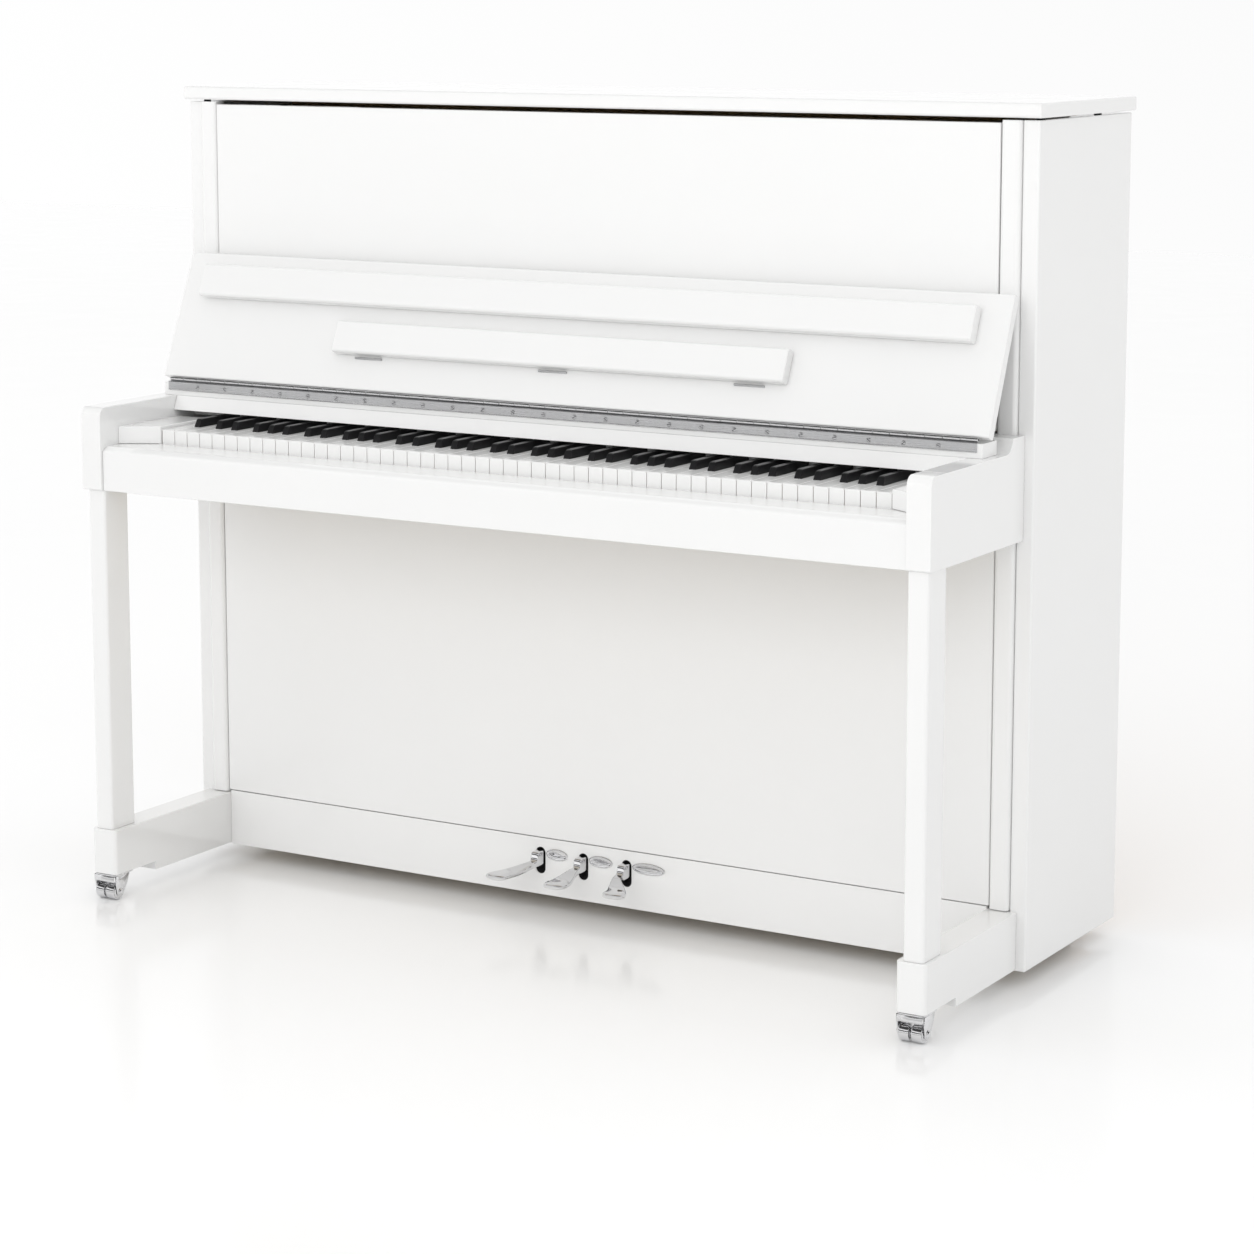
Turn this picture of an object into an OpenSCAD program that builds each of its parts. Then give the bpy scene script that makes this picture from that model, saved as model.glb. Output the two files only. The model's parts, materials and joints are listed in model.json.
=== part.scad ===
// Upright piano, assembled from its separate casework, keyboard, action, string and pedal parts.
// X runs along the keyboard, bass on the -X side. Y runs from the player towards the back. Z is up.
// The origin lies on the floor under the middle of the piano.

/* [Case] */
// Width over the top lid
lid_width = 1440; // [1430:1:1450]
// Overall height, casters included
piano_height = 1225; // [1215:1:1240]
// Overall depth, from the key arms to the back edge of the lid
piano_depth = 620; // [615:1:630]
// Thickness of the top lid
lid_thickness = 20; // [16:1:22]
// Gap between the lid and the side panels
lid_gap = 3; // [2:1:4]
// Width over the side panels
case_width = 1430; // [1426:1:1430]
// Thickness of a side panel
side_thickness = 25; // [22:1:26]
// Thickness of the upper panel, lower panel and plinth
panel_thickness = 18; // [14:1:20]
// Floor clearance of the case
case_clearance = 26; // [22:1:30]
// Top of the plinth above the floor
plinth_top = 113; // [108:1:118]

/* [Key arms and legs] */
// Outer face of an arm from the middle of the piano
arm_outer = 701; // [698:1:704]
// Thickness of an arm
arm_thickness = 35.5; // [32:0.5:36]
// Top of the arms
arm_top = 757; // [752:1:760]
// Underside of the arms and the key bed
bed_bottom = 632; // [626:1:634]
// Thickness of the key bed
bed_thickness = 32; // [28:1:34]
// Width of a leg
leg_width = 31; // [26:1:33]
// Depth of a leg from front to back
leg_depth = 56; // [48:1:58]
// Height of the toe blocks
toe_top = 110; // [106:1:114]

/* [Keyboard] */
// Distance from one white key to the next
key_pitch = 23.4; // [23.35:0.05:23.5]
// Gap between neighbouring white keys
key_gap = 1; // [0.8:0.1:1.2]
// Top surface of the white keys
key_top = 720; // [718:1:722]
// Front edge of the white keys, measured back from the arms' front face
key_setback = 75.5; // [72:0.5:80]
// Length of a white key in front of the black keys
head_length = 49; // [46:1:52]
// How far a black key stands above the white keys
sharp_height = 12; // [10:0.5:12]
// Width of a black key at its foot
sharp_width = 11; // [10:0.5:11.5]
// Depth that a white key's front edge goes down
key_dip = 10; // [9:0.5:10.5]

/* [Fallboard] */
// Length of the fallboard from its hinge to its free edge
board_length = 205; // [200:1:208]
// Thickness of the fallboard
board_thickness = 16; // [14:1:17]
// Width of the fallboard
board_width = 1388; // [1380:1:1392]
// How far the open fallboard leans back from upright, in degrees
board_lean = 23; // [21:0.5:24]

/* [Pedals] */
// Distance between neighbouring pedal slots
pedal_pitch = 75; // [72:1:80]
// Width of a pedal's foot
foot_width = 36; // [32:1:40]

/* [Casters] */
// Radius of a caster wheel
wheel_radius = 13; // [12:0.5:14]

/* [Hidden] */
$fn = 48;

// Colours
lacquer = [0.94, 0.94, 0.93];
bare_wood = [0.78, 0.62, 0.42];
dark_wood = [0.55, 0.38, 0.22];
chrome = [0.78, 0.79, 0.8];
steel = [0.6, 0.61, 0.63];
gold_iron = [0.72, 0.58, 0.3];
copper = [0.7, 0.42, 0.25];
ivory = [0.96, 0.95, 0.92];
ebony = [0.06, 0.06, 0.07];
felt_white = [0.9, 0.88, 0.82];
wheel_grey = [0.3, 0.3, 0.32];

// Planes of the case, from front to back and from the floor up
front = -piano_depth / 2;
lid_back = piano_depth / 2;
lid_front = -26;
case_back = lid_back - 5;
side_front = -17;
pilaster_front = -24;
panel_front = -22;
lower_front = panel_front + 2;
case_top = piano_height - lid_thickness - lid_gap;
side_outer = case_width / 2;
side_inner = side_outer - side_thickness;
pilaster_inner = 661;
panel_gap = 1.2;
panel_half = pilaster_inner - panel_gap;
panel_shadow_gap = 4;
arm_inner = arm_outer - arm_thickness;
fit = 0.3;

// Keyboard planes
white_count = 52;
keys_left = -white_count * key_pitch / 2;
bed_top = bed_bottom + bed_thickness;
slip_depth = 20;
key_front = front + key_setback;
key_bottom = key_top - 25.7;
slip_top = key_bottom + 4.2;
stick_top = key_top - 4;
stick_back = 140;
cover_back = -85;
balance_y = -20;
bearing_radius = 3;
sharp_front = key_front + head_length;
sharp_slot = sharp_width + 2.5;
octave_start = 23;
octave_end = 29;

// Fallboard hinge
rail_top = 777;
rail_front = -126;
hinge_y = -121;
hinge_z = 781.5;

// Music ledge hinge, through and along the fallboard
ledge_axis = [-3.4, 52.5];

// Lid hinge
knuckle = 2.4;
hinge_half = 620;
leaf_thickness = 1.5;
lid_leaf_low = case_top - 32;
lid_axis_y = case_back + knuckle;
lid_axis_z = piano_height - lid_thickness - 3.8;

// Inside of the case
frame_front = 215;
string_y = 176;
bass_string_y = 170;
plate_front = 184;
sound_y = 206;
rod_y = 155;
pedal_pivot_y = 60;
pedal_pivot_z = 89;
pin_radius = 3;
board_front = -1.5;
board_low = case_clearance + 4;
board_high = board_low + 22;
toe_inner = 657;
toe_step = 13;
caster_x = 679;
front_caster_y = -296;
rear_caster_y = 262;
rear_caster_x = 640;
axle_radius = 2.5;

// A box given by its lowest and highest corners
module block(low, high) {
    translate(low)
        cube(high - low);
}

// Extrudes a profile drawn in (y, z) from x0 to x1
module along_x(x0, x1) {
    translate([x0, 0, 0])
        rotate([90, 0, 90])
            linear_extrude(x1 - x0)
                children();
}

// Rectangle whose corners on the low side of its second axis are rounded
module front_rounded(low, high, r) {
    translate([low.x, low.y + r])
        square([high.x - low.x, high.y - low.y - r]);
    translate([low.x + r, low.y])
        square([high.x - low.x - 2 * r, high.y - low.y]);
    for (x = [low.x + r, high.x - r])
        translate([x, low.y + r])
            circle(r);
}

// Rectangle with all four corners rounded
module rounded_rect(low, high, r) {
    translate([low.x, low.y + r])
        square([high.x - low.x, high.y - low.y - 2 * r]);
    translate([low.x + r, low.y])
        square([high.x - low.x - 2 * r, high.y - low.y]);
    for (x = [low.x + r, high.x - r], y = [low.y + r, high.y - r])
        translate([x, y])
            circle(r);
}

// Draws its children on the right side and their mirror image on the left
module both_sides() {
    children();
    mirror([1, 0, 0])
        children();
}

module side_panel() {
    translate([0, 0, case_clearance])
        linear_extrude(case_top - case_clearance)
            front_rounded([side_inner + fit / 2, side_front], [side_outer, case_back], 3);
}

module side_panel_left() {
    color(lacquer)
        mirror([1, 0, 0])
            side_panel();
}

module side_panel_right() {
    color(lacquer)
        side_panel();
}

module pilasters() {
    color(lacquer)
        both_sides()
            translate([0, 0, toe_top + 1])
                linear_extrude(case_top - toe_top - 1)
                    front_rounded([pilaster_inner, pilaster_front], [side_inner, 0], 6);
}

// Floor of the case, with the cheeks and pins that carry the pedals
module bottom_board() {
    cheek_offset = 13;
    cheek_width = 8;
    cheek_depth = 30;
    cheek_above = 12;
    pin_length = 2 * cheek_offset - cheek_width;
    color(bare_wood) {
        block([-side_inner, board_front, board_low], [side_inner, frame_front - fit, board_high]);
        for (side = [-1, 0, 1], cheek = [-1, 1])
            translate([side * pedal_pitch + cheek * cheek_offset, pedal_pivot_y, 0])
                block(
                    [-cheek_width / 2, -cheek_depth / 2, board_high],
                    [cheek_width / 2, cheek_depth / 2, pedal_pivot_z + cheek_above]
                );
    }
    color(steel)
        for (side = [-1, 0, 1])
            translate([side * pedal_pitch - pin_length / 2, pedal_pivot_y, pedal_pivot_z])
                rotate([0, 90, 0])
                    cylinder(h = pin_length, r = pin_radius);
}

module key_bed() {
    back = rod_y - 10;
    step_y = pilaster_front - fit;
    color(bare_wood) {
        block(
            [-arm_inner + fit, front + slip_depth, bed_bottom],
            [arm_inner - fit, step_y, bed_top]
        );
        block(
            [-pilaster_inner + fit, step_y, bed_bottom],
            [pilaster_inner - fit, back, bed_top]
        );
    }
}

// Outline of an arm from the side: a rounded nose, a seam behind it, a flat top and a cove up to the rail
module arm_outline(back) {
    nose = 14;
    seam = 0.8;
    seam_setback = 45;
    cove_front = -76;
    cove = rail_top - arm_top;
    difference() {
        union() {
            translate([front, bed_bottom + 4])
                square([back - front, arm_top - nose - bed_bottom - 4]);
            translate([front + 4, bed_bottom])
                square([back - front - 4, arm_top - nose - bed_bottom]);
            translate([front + 4, bed_bottom + 4])
                circle(4);
            translate([front + nose, arm_top - nose])
                circle(nose);
            translate([front + nose, arm_top - nose])
                square([back - front - nose, nose]);
            translate([cove_front, arm_top - 1])
                square([back - cove_front, cove + 1]);
        }
        translate([cove_front, arm_top + cove])
            circle(cove);
        translate([front + seam_setback, arm_top - seam])
            square([seam, 2 * seam]);
    }
}

module arm() {
    along_x(arm_inner, side_inner)
        arm_outline(pilaster_front - fit);
    along_x(side_inner, arm_outer)
        arm_outline(side_front - fit);
}

module arm_left() {
    color(lacquer)
        mirror([1, 0, 0])
            arm();
}

module arm_right() {
    color(lacquer)
        arm();
}

module legs() {
    outer = arm_outer - 5;
    leg_front = front + 6;
    corner = 5;
    color(lacquer)
        both_sides()
            translate([0, 0, toe_top])
                linear_extrude(bed_bottom - toe_top)
                    rounded_rect([outer - leg_width, leg_front], [outer, leg_front + leg_depth], corner);
}

// A toe block reaches from under the leg to the case and is raised at its front over the caster
module toe_blocks() {
    step_y = -212;
    rear_bottom = case_clearance + 2;
    front_bottom = rear_bottom + toe_step;
    back = pilaster_front - fit;
    color(lacquer)
        both_sides() {
            translate([0, 0, front_bottom])
                linear_extrude(toe_top - front_bottom)
                    front_rounded([toe_inner, front + 2], [arm_outer, back], 7);
            block([toe_inner, step_y, rear_bottom], [arm_outer, back, front_bottom + 1]);
            block([side_inner + fit, back - 1, rear_bottom], [arm_outer, side_front - fit, toe_top]);
            block([toe_inner, back - 1, rear_bottom], [side_inner - fit, board_front - fit, toe_top]);
        }
}

// One upright slot with round ends, through the plinth
module pedal_slot(x) {
    slot_width = 17;
    slot_low = 58;
    slot_high = 99;
    translate([x, 0, 0])
        rotate([90, 0, 0])
            translate([0, 0, -10])
                linear_extrude(50) {
                    translate([-slot_width / 2, slot_low + slot_width / 2])
                        square([slot_width, slot_high - slot_low - slot_width]);
                    for (z = [slot_low + slot_width / 2, slot_high - slot_width / 2])
                        translate([0, z])
                            circle(slot_width / 2);
                }
}

module plinth() {
    half = toe_inner - fit;
    color(lacquer)
        difference() {
            block(
                [-half, lower_front, case_clearance],
                [half, lower_front + panel_thickness, plinth_top]
            );
            for (side = [-1, 0, 1])
                pedal_slot(side * pedal_pitch);
        }
}

// Front rail of the keyboard: an upright face with a flat top that runs back to the keys
module key_slip() {
    back = key_front - 3;
    top = slip_top;
    color(lacquer)
        along_x(-arm_inner + fit, arm_inner - fit)
            polygon([
                [front + 4, bed_bottom], [front + 4, top - 8], [front + 5.5, top - 5.5],
                [front + 14, top - 0.8], [front + 17, top], [back, top], [back, top - 12],
                [front + slip_depth - fit, top - 12], [front + slip_depth - fit, bed_bottom]
            ]);
}

// Blocks at both ends of the keys; their slanting front ends lie on the key slip
module key_blocks() {
    inner = -keys_left + 1;
    outer = arm_inner - fit;
    nose = 34;
    top = key_top + 5;
    color(lacquer)
        both_sides() {
            block([inner, key_front - 2.5, bed_top], [outer, hinge_y + 1, top]);
            translate([0, 0, slip_top + fit])
                linear_extrude(top - slip_top - fit)
                    polygon([
                        [inner, key_front - 2.5], [outer, key_front - nose],
                        [outer, key_front - 1], [inner, key_front - 1]
                    ]);
        }
}

// Board across the arms that carries the fallboard's hinge
module fallboard_rail() {
    rail_half = 688;
    cheek_back = -80;
    color(lacquer) {
        block([-rail_half, rail_front, arm_top], [rail_half, cheek_back, rail_top]);
        block([-arm_inner + fit, cheek_back - 1, arm_top], [arm_inner - fit, pilaster_front - fit, rail_top]);
        block([-pilaster_inner + fit, pilaster_front - 1, arm_top], [pilaster_inner - fit, 0, rail_top]);
    }
}

// Slanting board over the backs of the keys, with a set-back strip that comes down close to the white keys
module name_board() {
    bottom = key_top + sharp_height + 3.5;
    strip_bottom = key_top + 2.5;
    strip_front = cover_back + 2;
    strip = 10;
    color(lacquer)
        along_x(-arm_inner + fit, arm_inner - fit)
            polygon([
                [rail_front, arm_top], [rail_front - 8, bottom],
                [strip_front, bottom], [strip_front, strip_bottom],
                [strip_front + strip, strip_bottom], [strip_front + strip, arm_top]
            ]);
}

// A flat panel between the pilasters, standing from z0 up to z1
module flat_panel(y, z0, z1) {
    edge_radius = 2;
    translate([0, 0, z0])
        linear_extrude(z1 - z0)
            front_rounded([-panel_half, y], [panel_half, y + panel_thickness], edge_radius);
}

module upper_panel() {
    color(lacquer)
        flat_panel(panel_front, rail_top + 3, case_top - panel_shadow_gap);
}

module lower_panel() {
    color(lacquer)
        flat_panel(lower_front, plinth_top + panel_gap, bed_bottom - 3);
}

// Posts and rails at the back, which carry the pull of the strings
module back_frame() {
    half = side_inner - fit;
    low = board_low;
    high = case_top - 6;
    top_rail = 150;
    bottom_rail = 110;
    post = 60;
    posts = 5;
    spacing = (2 * half - post) / (posts - 1);
    color(bare_wood)
        difference() {
            union() {
                block([-half, frame_front, high - top_rail], [half, case_back, high]);
                block([-half, frame_front, low], [half, case_back, low + bottom_rail]);
                for (x = [-half : spacing : half - post / 2])
                    block(
                        [x, frame_front, low + bottom_rail - 1],
                        [x + post, case_back, high - top_rail + 1]
                    );
            }
            block(
                [-hinge_half - 1, case_back - leaf_thickness, lid_leaf_low],
                [hinge_half + 1, lid_back, case_top]
            );
        }
}

// Sloping hardwood bar glued to the front of the soundboard
module bridge(x, z, length, slope, depth) {
    half_height = 13;
    translate([x, sound_y + 0.5, z])
        rotate([0, slope, 0])
            block([-length / 2, -depth, -half_height], [length / 2, 0, half_height]);
}

// Thin spruce board with its treble and bass bridges
module soundboard() {
    low = case_clearance + 30;
    high = 1030;
    board = 7.5;
    color(bare_wood) {
        block([-panel_half, sound_y, low], [panel_half, sound_y + board, high]);
        bridge(170, 580, 720, -42, 10);
        bridge(-380, 190, 360, -10, 10.5);
    }
}

// Cast plate: a rim, the tuning-pin field at the top and struts across the open bays
module iron_frame() {
    rim = 34;
    plate = 11;
    half = panel_half - 4;
    low = case_clearance + 40;
    high = case_top - 12;
    field_low = 1060;
    bays = [[-616, -276], [-240, 66], [102, 338], [374, 616]];
    color(gold_iron)
        difference() {
            block([-half, plate_front, low], [half, plate_front + plate, high]);
            for (bay = bays)
                block(
                    [bay[0], plate_front - 1, low + rim],
                    [bay[1], plate_front + plate + 1, field_low]
                );
        }
}

// Sounding length and lean of the strings: long and overwound in the bass, short in the treble
bass_notes = 28;
notes = 88;
pin_left = -600;
pin_spacing = 13.6;
pin_rows = 3;
pin_row_gap = 24;
pin_low = 1096;
function treble_length(i) = 900 * exp(-2.15 * (i - bass_notes) / (notes - bass_notes)) + 20;
function pin_x(i) = pin_left + i * pin_spacing;
function pin_z(i) = pin_low + pin_row_gap * (i % pin_rows);

module strings() {
    bass_lean = 24;
    treble_lean = 7;
    color(copper)
        for (i = [0 : bass_notes - 1])
            translate([pin_x(i) + 5.5, bass_string_y, pin_z(i)])
                rotate([0, 180 - bass_lean, 0])
                    cylinder(h = 960 - 7 * i, r = 1.6 - 0.02 * i, $fn = 16);
    color(steel)
        for (i = [bass_notes : notes - 1])
            translate([pin_x(i) + 4.5, string_y, pin_z(i)])
                rotate([0, 180 + treble_lean, 0])
                    cylinder(h = treble_length(i) + pin_row_gap * (i % pin_rows), r = 0.6, $fn = 16);
}

module tuning_pins() {
    color(steel)
        for (i = [0 : notes - 1])
            translate([pin_x(i), plate_front - 0.2, pin_z(i)])
                rotate([90, 0, 0])
                    cylinder(h = 32, r = 3.4, $fn = 24);
}

// Brackets and rails that carry the hammers and dampers
module action_frame() {
    bracket_x = [-630, -214, 214, 630];
    rail_half = 645;
    color(gold_iron)
        for (x = bracket_x)
            along_x(x - 3, x + 3)
                polygon([
                    [70, bed_top + 75], [130, bed_top + 75],
                    [128, 860], [148, 900], [148, 1010], [132, 1060], [112, 1060],
                    [118, 985], [112, 905], [84, 850]
                ]);
    color(dark_wood) {
        block([-rail_half, 88, 866], [rail_half, 111, 892]);
        block([-rail_half, 54, 1000], [rail_half, 64, 1022]);
        block([-rail_half, 149, 880], [rail_half, 157, 904]);
    }
}

module hammers() {
    color(felt_white)
        for (i = [0 : notes - 1])
            along_x(pin_x(i) - 4, pin_x(i) + 4)
                union() {
                    translate([88, 893])
                        square([16, 24]);
                    translate([80, 916])
                        square([6, 130]);
                    translate([66, 1032])
                        square([30, 14]);
                    translate([96, 1039])
                        circle(13);
                }
}

module dampers() {
    color(felt_white)
        for (i = [0 : notes - 20])
            along_x(pin_x(i) - 5, pin_x(i) + 5) {
                translate([158, 975])
                    square([bass_string_y - 161, 40]);
                translate([158.5, 905])
                    square([3, 71]);
            }
}

// Rails under the keys; the keys rock on the round bearing along the middle one
module key_frame() {
    half = -keys_left;
    color(bare_wood) {
        block([-half, -222, bed_top], [half, -196, key_bottom - 14]);
        block([-half, balance_y - 4, bed_top], [half, balance_y + 4, key_bottom - fit]);
        block([-half, 112, bed_top], [half, 134, key_bottom - fit]);
        translate([-half, balance_y, key_bottom])
            rotate([0, 90, 0])
                cylinder(h = 2 * half, r = bearing_radius);
    }
}

// Note letter of white key i, counted from C; the lowest key is an A
function letter(i) = (i + 5) % 7;
function has_sharp(i) = i >= 0 && i < white_count - 1 && letter(i) != 2 && letter(i) != 6;
sharp_offsets = [-2.9, 2.9, 0, -4, 0, 4, 0];
function sharp_x(i) = keys_left + (i + 1) * key_pitch + sharp_offsets[letter(i)];
function tail_left(i) = has_sharp(i - 1)
    ? sharp_x(i - 1) + sharp_slot / 2
    : keys_left + i * key_pitch + key_gap / 2;
function tail_right(i) = has_sharp(i)
    ? sharp_x(i) - sharp_slot / 2
    : keys_left + (i + 1) * key_pitch - key_gap / 2;

// Wooden stick of a key, with the half-round notch that sits on the bearing
module key_stick(left, right, stick_front) {
    difference() {
        block([left, stick_front, key_bottom], [right, stick_back, stick_top]);
        translate([left - 1, balance_y, key_bottom])
            rotate([0, 90, 0])
                cylinder(h = right - left + 2, r = bearing_radius + 0.06);
    }
}

// White key i: the full-width head, the narrow tail between the black keys and the stick behind
module white_key(i) {
    left = keys_left + i * key_pitch + key_gap / 2;
    right = left + key_pitch - key_gap;
    color(ivory) {
        block([left, key_front, key_bottom], [right, sharp_front - 1, key_top]);
        block([tail_left(i), sharp_front - 2, key_bottom], [tail_right(i), cover_back, key_top]);
    }
    color(bare_wood)
        key_stick(tail_left(i), tail_right(i), cover_back - 1);
}

// Black key after white key i: a sloped cap that narrows upwards, on a wooden stick
module black_key(i) {
    top_narrowing = 0.8;
    top = key_top + sharp_height;
    half = sharp_width / 2;
    x = sharp_x(i);
    color(ebony)
        intersection() {
            along_x(x - half, x + half)
                polygon([
                    [sharp_front, stick_top], [sharp_front + 1, key_top + 1], [sharp_front + 6, top - 1.5],
                    [sharp_front + 9, top], [cover_back, top], [cover_back, stick_top]
                ]);
            translate([x, 0, 0])
                rotate([90, 0, 0])
                    translate([0, 0, -200])
                        linear_extrude(500)
                            polygon([
                                [-half, stick_top - 1], [half, stick_top - 1], [half, key_top],
                                [half - top_narrowing, top - 1], [half - top_narrowing - 1, top + 1],
                                [top_narrowing + 1 - half, top + 1], [top_narrowing - half, top - 1],
                                [-half, key_top]
                            ]);
        }
    color(bare_wood)
        key_stick(x - half, x + half, sharp_front);
}

module white_keys(from, to) {
    for (i = [from : to])
        white_key(i);
}

module black_keys(from, to) {
    for (i = [from : to])
        if (has_sharp(i))
            black_key(i);
}

module top_lid() {
    color(lacquer)
        along_x(-lid_width / 2, lid_width / 2)
            rounded_rect([lid_front, piano_height - lid_thickness], [lid_back, piano_height], 4);
}

module lid_hinge() {
    color(steel)
        along_x(-hinge_half, hinge_half) {
            translate([lid_axis_y, lid_axis_z])
                circle(knuckle);
            translate([case_back - leaf_thickness, lid_leaf_low + 0.5])
                square([leaf_thickness, lid_axis_z - lid_leaf_low - 1]);
            translate([case_back - leaf_thickness, lid_axis_z - knuckle])
                square([knuckle + leaf_thickness, leaf_thickness]);
        }
}

// Puts its children, drawn with +Z along the open fallboard and +Y through it, at the hinge
module on_fallboard() {
    translate([0, hinge_y, hinge_z])
        rotate([-board_lean, 0, 0])
            children();
}

module fallboard() {
    board_start = 4;
    color(lacquer)
        on_fallboard()
            along_x(-board_width / 2, board_width / 2)
                rounded_rect([-1, board_start], [board_thickness - 1, board_length], 3);
}

module fallboard_lip() {
    lip_half = 650;
    color(lacquer)
        on_fallboard()
            along_x(-lip_half, lip_half)
                rounded_rect([-21, 131], [-1, 182], 5);
}

module music_ledge() {
    ledge_half = 381;
    color(lacquer)
        on_fallboard()
            along_x(-ledge_half, ledge_half)
                rounded_rect([-19, 56], [-1.4, 105], 5);
}

// Three small hinges under the music ledge
module ledge_hinges() {
    hinge_pitch = 322;
    color(chrome)
        on_fallboard()
            for (x = [-hinge_pitch, 0, hinge_pitch])
                along_x(x - 24, x + 24) {
                    translate(ledge_axis)
                        circle(2);
                    translate([-2, 48.5])
                        square([1, 4]);
                }
}

// Long hinge of the fallboard: the fixed leaf on the rail with its screws, and the knuckle
module fallboard_hinge() {
    leaf_half = 680;
    leaf = 1.4;
    leaf_low = rail_top - 12;
    board_knuckle = 3.2;
    screw_spacing = 52;
    color(steel) {
        along_x(-leaf_half, leaf_half)
            union() {
                translate([rail_front - leaf, leaf_low])
                    square([leaf, rail_top - leaf_low + 0.1]);
                translate([rail_front - leaf, rail_top])
                    square([hinge_y - rail_front + leaf, leaf]);
                translate([hinge_y, hinge_z])
                    circle(board_knuckle);
            }
        for (i = [-12 : 12])
            translate([i * screw_spacing, rail_front - leaf, (leaf_low + rail_top) / 2])
                rotate([90, 0, 0])
                    cylinder(h = 0.8, r1 = 3.4, r2 = 2.6);
    }
}

function smooth(t) = t * t * (3 - 2 * t);

// Pedal levers
pedal_steps = 16;
shank_half = 6.5;
shank_top = 95;
shank_bottom = 72;
neck_y = panel_front - 16;
foot_y = -112;
foot_top = 74;
foot_bottom = 64;
neck_drop = 13;

// Middle and half-width of the pedal at part t of the way from the neck to the foot
function sweep_x(t, sweep) = sweep * smooth(t);
function half_width(t) = shank_half + (foot_width / 2 - shank_half) * smooth(min(1, t * 1.15));
function neck_top(t) = shank_top - neck_drop - (shank_top - neck_drop - foot_top) * smooth(min(1, t * 1.3));
function neck_bottom(t) = shank_bottom - (shank_bottom - foot_bottom) * smooth(min(1, t * 1.3));

// Rounded front end of a foot, half an ellipse
module foot_end(half, depth) {
    polygon([for (i = [0 : 24]) [half * cos(180 + i * 7.5), depth * sin(180 + i * 7.5)]]);
}

// A pedal's neck and foot from above: it widens and sweeps to one side
module foot_plan(sweep) {
    end_depth = 10;
    reach = neck_y - foot_y - end_depth;
    edge = [for (i = [0 : pedal_steps]) i / pedal_steps];
    polygon(concat(
        [for (t = edge) [sweep_x(t, sweep) - half_width(t), neck_y - t * reach]],
        [for (i = [pedal_steps : -1 : 0])
            [sweep_x(edge[i], sweep) + half_width(edge[i]), neck_y - edge[i] * reach]]
    ));
    translate([sweep, foot_y + end_depth])
        foot_end(foot_width / 2, end_depth);
}

// The same from the side, in (y, z): it drops from under the head to the foot
module foot_profile() {
    reach = neck_y - foot_y;
    edge = [for (i = [0 : pedal_steps]) i / pedal_steps];
    polygon(concat(
        [for (t = edge) [neck_y - t * reach, neck_top(t)]],
        [for (i = [pedal_steps : -1 : 0]) [neck_y - edge[i] * reach, neck_bottom(edge[i])]]
    ));
}

// A lever with a swan neck: a square head in front of its slot, and a shank that runs back over the pivot
module pedal(x, sweep) {
    bar_height = 12;
    difference() {
        translate([x, 0, 0])
            union() {
                intersection() {
                    translate([0, 0, foot_bottom - 20])
                        linear_extrude(80)
                            foot_plan(sweep);
                    along_x(-70, 70)
                        foot_profile();
                }
                block([-shank_half, neck_y, shank_bottom], [shank_half, 4, shank_top]);
                block([-shank_half, 3, shank_top - bar_height], [shank_half, rod_y + 8, shank_top]);
            }
        translate([x - 20, pedal_pivot_y, pedal_pivot_z])
            rotate([0, 90, 0])
                cylinder(h = 40, r = pin_radius + 0.1);
    }
}

module pedal_left() {
    color(chrome)
        pedal(-pedal_pitch, -26);
}

module pedal_middle() {
    color(chrome)
        pedal(0, 0);
}

module pedal_right() {
    color(chrome)
        pedal(pedal_pitch, 26);
}

// Dished oval plates beside the pedal slots
module pedal_plates() {
    widths = [38, 41, 56];
    slot_offset = 10;
    plate_half = 9;
    color(chrome)
        for (i = [0 : 2])
            translate([(i - 1) * pedal_pitch + slot_offset + widths[i] / 2, lower_front, 90])
                rotate([90, 0, 0])
                    linear_extrude(1.6)
                        polygon([for (k = [0 : 35]) [widths[i] / 2 * cos(k * 10), plate_half * sin(k * 10)]]);
}

module trap_rod(side) {
    color(bare_wood)
        translate([side * pedal_pitch, rod_y, pedal_pivot_z + 7])
            cylinder(h = 850 - pedal_pivot_z, r = 4);
}

// Fork and axle of a caster whose top plate meets the block above it at height top
module caster_fork(x, y, top) {
    cheek_x = 20;
    cheek = 2;
    boss = 7;
    color(chrome) {
        block([x - 21, y - 12, top - 3], [x + 21, y + 34, top]);
        for (side = [-1, 1])
            translate([x + side * cheek_x - cheek / 2, 0, 0])
                along_x(0, cheek)
                    union() {
                        polygon([
                            [y - boss, wheel_radius], [y - 11, top - 2], [y + 22, top - 2],
                            [y + boss, wheel_radius - 1]
                        ]);
                        translate([y, wheel_radius])
                            circle(boss);
                    }
        translate([x - cheek_x, y, wheel_radius])
            rotate([0, 90, 0])
                cylinder(h = 2 * cheek_x, r = axle_radius);
    }
}

module caster_forks() {
    both_sides() {
        caster_fork(caster_x, front_caster_y, case_clearance + 2 + toe_step);
        caster_fork(rear_caster_x, rear_caster_y, board_low);
    }
}

// A pair of wheels on one axle
module wheel_pair(x, y) {
    color(wheel_grey)
        for (side = [-1, 1])
            translate([x + side * 9.5 - 8, y, wheel_radius])
                rotate([0, 90, 0])
                    difference() {
                        cylinder(h = 16, r = wheel_radius, $fn = 64);
                        translate([0, 0, -1])
                            cylinder(h = 18, r = axle_radius + 0.1);
                    }
}

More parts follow.
